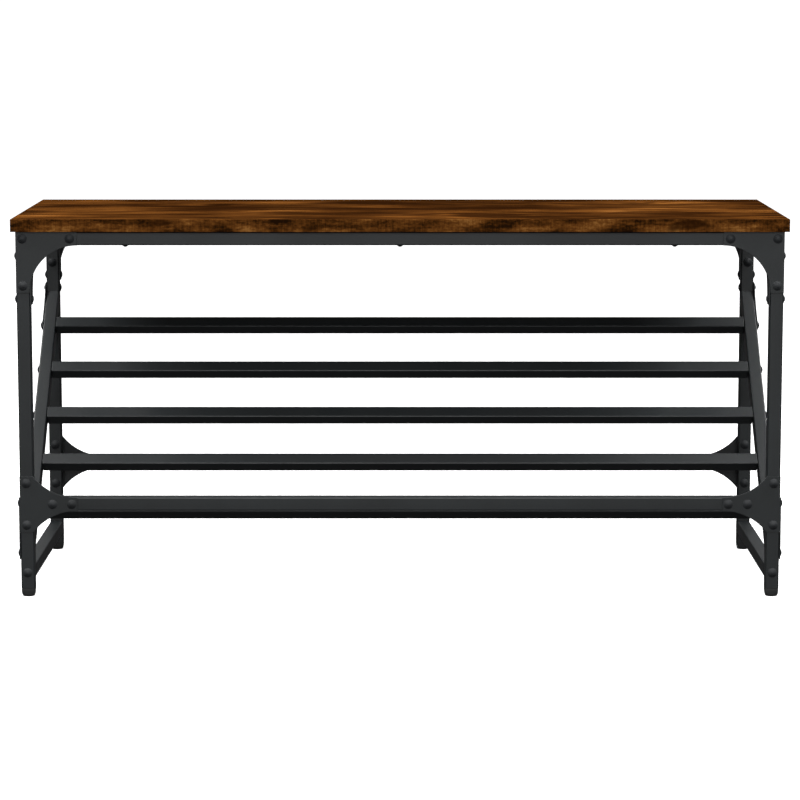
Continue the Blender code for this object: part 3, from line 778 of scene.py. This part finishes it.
def oak_grain_group():
    """Oak figure along X: a streaky tone, dark smoked streaks, open pores, and a height."""
    tree, given, result = new_group(
        "oak grain",
        [
            ("Position", "Vector", None),
            ("Waviness", "Float", 0.055),
            ("Streak Width", "Float", 30.0),
            ("Streak Length", "Float", 5.5),
        ],
        [("Tone", "Float"), ("Smoke", "Float"), ("Pores", "Float"), ("Height", "Float")],
    )
    position = given["Position"]
    slow = oak_noise(tree, position, "wander")
    wander = maths(tree, "MULTIPLY", maths(tree, "SUBTRACT", slow, 0.5), given["Waviness"])
    axes = add_node(tree, "SeparateXYZ", {"Vector": position}).outputs
    across = maths(tree, "ADD", axes["Y"], wander)
    knots = []
    for x, y, bend in OAK_KNOTS:
        near = add_node(
            tree, "VectorMath", {0: stretch(tree, position, KNOT_STRETCH), 1: knot_centre(x, y)},
            operation="DISTANCE",
        ).outputs["Value"]
        pull = remap(tree, near, KNOT_REACH, 0.0, 0.0, bend)
        across = maths(tree, "ADD", across, pull)
        knots.append(remap(tree, near, KNOT_RIM, KNOT_HEART))
    grain_axes = {"X": axes["X"], "Y": across, "Z": axes["Z"]}
    grain = add_node(tree, "CombineXYZ", grain_axes).outputs["Vector"]

    streak_axes = {
        "X": maths(tree, "MULTIPLY", axes["X"], given["Streak Length"]),
        "Y": maths(tree, "MULTIPLY", across, given["Streak Width"]),
        "Z": axes["Z"],
    }
    streak_position = add_node(tree, "CombineXYZ", streak_axes).outputs["Vector"]
    streaks = noise(tree, streak_position, 1.0, detail=5.0, roughness=0.58)
    rings_at = stretch(tree, grain, RING_SCALES, RING_START)
    rings = add_node(
        tree, "TexWave", {"Vector": rings_at, **RINGS}, wave_type="BANDS", bands_direction="Y",
        wave_profile="SAW",
    ).outputs["Fac"]
    fibres = oak_noise(tree, grain, "fibres")
    belts = oak_noise(tree, grain, "belts")

    tone = vary(tree, FACE_TONE, streaks, STREAK_SWING)
    tone = vary(tree, tone, rings, RING_SWING)
    tone = vary(tree, tone, fibres, FIBRE_SWING)
    from_belt = maths(tree, "ABSOLUTE", maths(tree, "SUBTRACT", across, PALE_BELT_Y))
    pale_belt = remap(tree, from_belt, PALE_BELT_HALF, 0.0, *PALE_BELT_TONES)
    tone = maths(tree, "ADD", pale_belt, tone)
    tone = vary(tree, tone, belts, BELT_SWING, clamp=True)
    tree.links.new(tone, result["Tone"])

    smoke = remap(tree, oak_noise(tree, grain, "smoke"), *SMOKE_SHOWS)
    lines = remap(tree, oak_noise(tree, grain, "lines"), *LINES_SHOW)
    smoke = maths(tree, "MULTIPLY_ADD", lines, LINE_DEPTH, smoke, clamp=True)
    for knot in knots:
        smoke = maths(tree, "MAXIMUM", smoke, knot)
    tree.links.new(smoke, result["Smoke"])
    pores = remap(tree, oak_noise(tree, grain, "pores"), *PORES_SHOW)
    tree.links.new(pores, result["Pores"])
    height = maths(tree, "MULTIPLY_ADD", pores, PORE_DEPTH, fibres)
    tree.links.new(height, result["Height"])
    return tree


# Finishes

OAK_TONES = (
    (0.00, srgb(36, 17, 4)),
    (0.22, srgb(56, 30, 9)),
    (0.50, srgb(83, 48, 17)),
    (0.72, srgb(106, 63, 24)),
    (1.00, srgb(140, 90, 41)),
)
EDGING_TONES = (
    (0.00, srgb(34, 18, 6)),
    (0.25, srgb(66, 37, 12)),
    (0.50, srgb(94, 55, 21)),
    (0.75, srgb(117, 72, 30)),
    (1.00, srgb(146, 98, 48)),
)
SMOKE_COLOUR = srgb(40, 19, 5)
PORE_COLOUR = srgb(34, 17, 6)
SMOKE_COVER, PORE_COVER, STAIN_COVER = 0.82, 0.45, 0.75
FACE_ROUGHNESS = (0.62, 0.50)  # in the darkest and in the lightest tone
EDGING_ROUGHNESS = (0.66, 0.54)
EDGING_FIGURE = {"Waviness": 0.02, "Streak Width": 130.0, "Streak Length": 16.0}

# Powder coats: the colour, the lighter colour of rubbed edges (edge wear and painted edge highlight), the
# roughness and the specular level
COATS = {
    "black_tube_coat": (srgb(24, 29, 31), srgb(60, 63, 66), 0.42, 0.65),
    "black_plate_coat": (srgb(23, 28, 30), srgb(60, 63, 66), 0.42, 0.65),
    "black_bolt_coat": (srgb(42, 44, 46), srgb(60, 63, 65), 0.60, 0.28),
}
CLOUD_DEPTH = 0.18  # how far the coat's cloud darkens and lightens its colour
CLOUD_GLOSS = 0.05
# The second cover is how far edges take the lighter colour: edge wear and painted edge highlight
SPECKLE_COVER, WEAR_AND_HIGHLIGHT_COVER = 0.25, 0.35
RUB_GLOSS = -0.08

# Feet
PLASTIC_COLOURS = (srgb(38, 39, 39), srgb(54, 55, 55))
PLASTIC_ROUGHNESS = (0.62, 0.5)
PLASTIC_SKIN = {"Peel": 900.0, "Cloud": 60.0}


def smoked_oak_face(grain):
    """The printed face of the board: long warm streaks, smoked nearly black in places."""
    material, tree, shader = new_material("smoked_oak_face", Specular_IOR_Level=0.0)
    position = object_position(tree)
    figure = place_group(tree, grain, {"Position": position})
    colour = ramp(tree, figure["Tone"], OAK_TONES)
    smoked = maths(tree, "MULTIPLY", figure["Smoke"], SMOKE_COVER)
    colour = blend_colours(tree, smoked, colour, SMOKE_COLOUR)
    pitted = maths(tree, "MULTIPLY", figure["Pores"], PORE_COVER)
    colour = blend_colours(tree, pitted, colour, PORE_COLOUR)
    tree.links.new(colour, shader.inputs["Base Color"])
    roughness = remap(tree, figure["Tone"], 0.0, 1.0, *FACE_ROUGHNESS)
    tree.links.new(roughness, shader.inputs["Roughness"])
    add_bump(tree, shader, figure["Height"], distance=0.00012, strength=0.5)
    return material


def smoked_oak_edging(grain):
    """The edge band: rough-sawn blotches with upright saw marks, running along each side."""
    material, tree, shader = new_material("smoked_oak_edging", Specular_IOR_Level=0.0)
    axes = add_node(tree, "SeparateXYZ", {"Vector": object_position(tree)}).outputs
    along = maths(tree, "ADD", axes["X"], axes["Y"])
    strip = add_node(tree, "CombineXYZ", {"X": along, "Y": axes["Z"], "Z": 0.0}).outputs["Vector"]
    figure = place_group(tree, grain, {"Position": strip, **EDGING_FIGURE})
    blotches = oak_noise(tree, strip, "blotches")
    saw = oak_noise(tree, strip, "saw")
    mottle = oak_noise(tree, strip, "mottle")
    tone = vary(tree, EDGING_TONE, figure["Tone"], FIGURE_SWING)
    tone = vary(tree, tone, blotches, BLOTCH_SWING)
    tone = vary(tree, tone, saw, SAW_SWING)
    tone = vary(tree, tone, mottle, MOTTLE_SWING, clamp=True)
    colour = ramp(tree, tone, EDGING_TONES)
    stains = remap(tree, oak_noise(tree, strip, "stains"), *STAINS_SHOW)
    colour = blend_colours(tree, maths(tree, "MULTIPLY", stains, STAIN_COVER), colour, SMOKE_COLOUR)
    tree.links.new(colour, shader.inputs["Base Color"])
    roughness = remap(tree, tone, 0.0, 1.0, *EDGING_ROUGHNESS)
    tree.links.new(roughness, shader.inputs["Roughness"])
    add_bump(tree, shader, maths(tree, "ADD", saw, mottle), distance=0.00015, strength=0.45)
    return material


def powder_coat(name, coat, edge_wear_and_highlight, colour, bare_and_highlight_colour, roughness, specular):
    """Satin black powder coat, a little lighter and smoother along its edges: edge wear whose lighter
    colour is also a painted edge highlight.
    """
    material, tree, shader = new_material(name, Specular_IOR_Level=specular)
    position = object_position(tree)
    skin = place_group(tree, coat, {"Position": position})
    wear_and_highlight_mask = place_group(tree, edge_wear_and_highlight, {"Position": position})["Mask"]
    deep = (*(channel * (1 - CLOUD_DEPTH) for channel in colour[:3]), 1.0)
    light = (*(channel * (1 + CLOUD_DEPTH) for channel in colour[:3]), 1.0)
    base = blend_colours(tree, remap(tree, skin["Cloud"], 0.3, 0.7), deep, light)
    base = blend_colours(tree, maths(tree, "MULTIPLY", skin["Speckle"], SPECKLE_COVER), base, bare_and_highlight_colour)
    # Painted edge highlight, partly edge wear: the edge mask blends in the lighter colour
    base = blend_colours(tree, maths(tree, "MULTIPLY", wear_and_highlight_mask, WEAR_AND_HIGHLIGHT_COVER), base, bare_and_highlight_colour)
    tree.links.new(base, shader.inputs["Base Color"])
    gloss = remap(tree, skin["Cloud"], 0.25, 0.75, roughness + CLOUD_GLOSS, roughness - CLOUD_GLOSS)
    gloss = maths(tree, "MULTIPLY_ADD", wear_and_highlight_mask, RUB_GLOSS, gloss)
    tree.links.new(gloss, shader.inputs["Roughness"])
    add_bump(tree, shader, skin["Height"], distance=0.00006, strength=0.35)
    return material


def foot_plastic(coat):
    """Moulded black plastic with a fine even grain."""
    material, tree, shader = new_material("black_foot_plastic", Specular_IOR_Level=0.4)
    skin = place_group(tree, coat, {"Position": object_position(tree), **PLASTIC_SKIN})
    base = blend_colours(tree, skin["Cloud"], *PLASTIC_COLOURS)
    tree.links.new(base, shader.inputs["Base Color"])
    roughness = remap(tree, skin["Cloud"], 0.2, 0.8, *PLASTIC_ROUGHNESS)
    tree.links.new(roughness, shader.inputs["Roughness"])
    add_bump(tree, shader, skin["Height"], distance=0.00008, strength=0.5)
    return material


# Studio

CAMERA_PLACE = Vector((0.0, -3.334, 0.7293))
CAMERA_PITCH = math.radians(7.05)
CAMERA_LENS = 121.94
CAMERA_SHIFT = -0.1
FLOOR_SIZE = 600.0
WHITE = (1.0, 1.0, 1.0, 1.0)
FLOOR_TONES = ((0.86, 0.86, 0.86, 1.0), (0.9, 0.9, 0.9, 1.0))
FLOOR_CLOUD = 3.0
LIGHT_BELOW, LIGHT_ABOVE = 0.06, 0.45  # the even light from the horizon down, and from straight above

# Soft boxes: where each stands, what it aims at, its width, its height and its power
SOFT_BOXES = {
    "overhead_box": ((0.0, -0.5, 2.6), (0.0, -0.1, 0.3), 0.9, 1.6, 6.0),
    "front_box": ((0.0, -3.4, 2.6), (0.0, 0.0, 0.25), 2.4, 1.4, 66.0),
    "fill_box": ((0.0, -4.6, 0.2), (0.0, 0.0, 0.25), 4.4, 2.4, 25.0),
    "back_box": ((0.0, 2.9, 3.0), (0.0, 0.0, 0.25), 3.4, 1.2, 36.0),
    "left_box": ((-2.35, -0.4, 2.6), (0.0, -0.1, 0.3), 0.45, 1.2, 78.0),
    "right_box": ((2.35, -0.4, 2.6), (0.0, -0.1, 0.3), 0.45, 1.2, 78.0),
}


def make_floor():
    """A pale floor that reaches past the horizon. Only the camera sees it, so it throws no light back."""
    bm = bmesh.new()
    bmesh.ops.create_grid(bm, x_segments=1, y_segments=1, size=FLOOR_SIZE / 2)
    mesh = bpy.data.meshes.new("studio_floor")
    bm.to_mesh(mesh)
    bm.free()
    material, tree, shader = new_material(
        "studio_floor", Roughness=0.9, Specular_IOR_Level=0.0, Emission_Strength=0.8
    )
    tone = blend_colours(tree, noise(tree, object_position(tree), FLOOR_CLOUD), *FLOOR_TONES)
    tree.links.new(tone, shader.inputs["Base Color"])
    shader.inputs["Emission Color"].default_value = WHITE
    mesh.materials.append(material)
    floor = bpy.data.objects.new("studio_floor", mesh)
    bpy.context.scene.collection.objects.link(floor)
    floor.visible_diffuse = False
    floor.visible_glossy = False


def make_world():
    """Soft light from all round, weak from below, behind a white backdrop that only the camera sees."""
    world = bpy.data.worlds.new("studio")
    bpy.context.scene.world = world
    world.use_nodes = True
    tree = world.node_tree
    background = tree.nodes["Background"]
    ray = add_node(tree, "LightPath").outputs["Is Camera Ray"]
    direction = add_node(tree, "TexCoord").outputs["Generated"]
    height = add_node(tree, "SeparateXYZ", {"Vector": direction}).outputs["Z"]
    level = remap(tree, height, 0.0, 1.0, LIGHT_BELOW, LIGHT_ABOVE)
    light = add_node(tree, "CombineColor", {"Red": level, "Green": level, "Blue": level}).outputs["Color"]
    colour = blend_colours(tree, ray, light, WHITE)
    tree.links.new(colour, background.inputs["Color"])


def soft_box(name, place, aim, width, height, power):
    light = bpy.data.lights.new(name, "AREA")
    light.shape = "RECTANGLE"
    light.size = width
    light.size_y = height
    light.energy = power
    lamp = bpy.data.objects.new(name, light)
    lamp.location = place
    lamp.rotation_euler = (Vector(aim) - Vector(place)).to_track_quat("-Z", "Y").to_euler()
    lamp.visible_camera = False
    bpy.context.scene.collection.objects.link(lamp)


def make_lights():
    for name, settings in SOFT_BOXES.items():
        soft_box(name, *settings)


def make_camera():
    camera = bpy.data.cameras.new("camera")
    camera.lens = CAMERA_LENS
    camera.shift_y = CAMERA_SHIFT
    camera.clip_end = FLOOR_SIZE
    holder = bpy.data.objects.new("camera", camera)
    holder.location = CAMERA_PLACE
    holder.rotation_euler = (math.radians(90) - CAMERA_PITCH, 0.0, 0.0)
    bpy.context.scene.collection.objects.link(holder)
    bpy.context.scene.camera = holder


def make_bench():
    edge_wear_and_highlight, coat, grain = edge_wear_and_highlight_group(), coat_group(), oak_grain_group()
    face_oak, edging_oak = smoked_oak_face(grain), smoked_oak_edging(grain)
    tube_coat, plate_coat, bolt_coat = (
        powder_coat(name, coat, edge_wear_and_highlight, *settings) for name, settings in COATS.items()
    )
    make_tubes(tube_coat)
    make_plates((plate_coat, bolt_coat))
    make_bolts(bolt_coat)
    make_screws(bolt_coat)
    make_board(face_oak, edging_oak)
    make_feet(foot_plastic(coat))


def main():
    make_bench()
    make_floor()
    make_world()
    make_lights()
    make_camera()
    bpy.context.scene.view_settings.view_transform = "Standard"


main()
